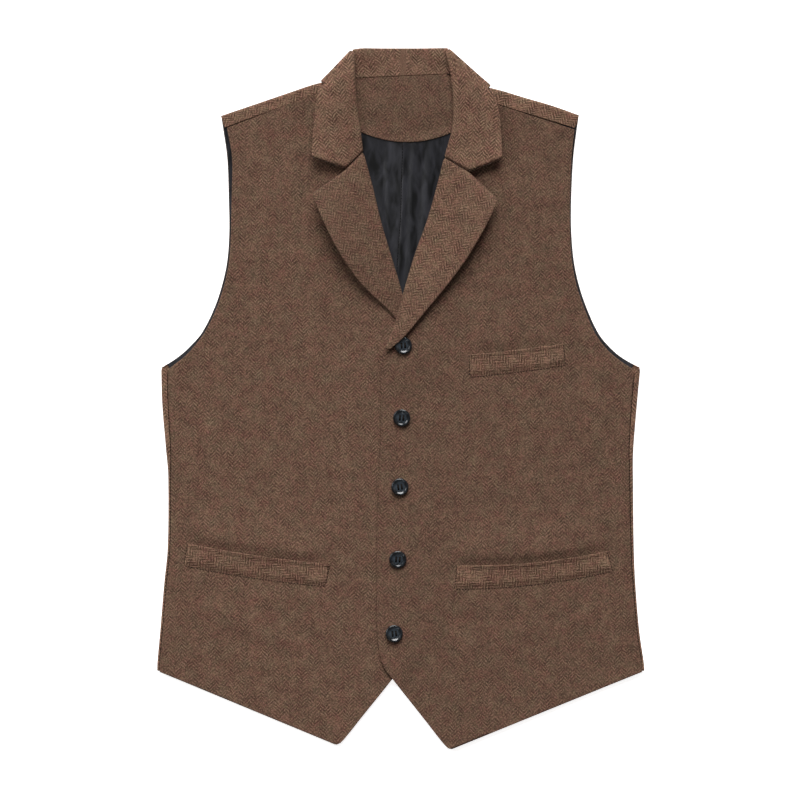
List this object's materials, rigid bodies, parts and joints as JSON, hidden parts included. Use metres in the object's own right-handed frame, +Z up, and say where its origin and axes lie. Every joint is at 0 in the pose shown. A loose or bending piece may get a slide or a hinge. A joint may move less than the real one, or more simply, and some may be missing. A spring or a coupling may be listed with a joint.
{
  "type": "suit waistcoat",
  "caption": "Single-breasted suit waistcoat in brown herringbone tweed, laid flat, with a notched collar, dark buttons, welt pockets and a satin back lining.",
  "frame": {"origin": "middle of the outline, on the flat surface that the waistcoat lies on", "axes": "+Z up from that surface, +Y towards the neck, +X to the right of someone looking down at the fronts"},
  "size_m": [0.4877, 0.7004, 0.0187],
  "materials": {
    "tweed": "matte",
    "lining": "satin",
    "button": "gloss"
  },
  "bodies": {
    "root": {"back": "tweed", "back_neck_facing": "tweed", "back_lining_left": "lining", "back_lining_right": "lining", "front_left": "tweed", "front_right": "tweed", "lapel_left": "tweed", "lapel_right": "tweed", "collar": "tweed", "welt_chest": "tweed", "welt_left": "tweed", "welt_right": "tweed", "button_1": "button", "button_2": "button", "button_3": "button", "button_4": "button", "button_5": "button"}
  },
  "joints": []
}
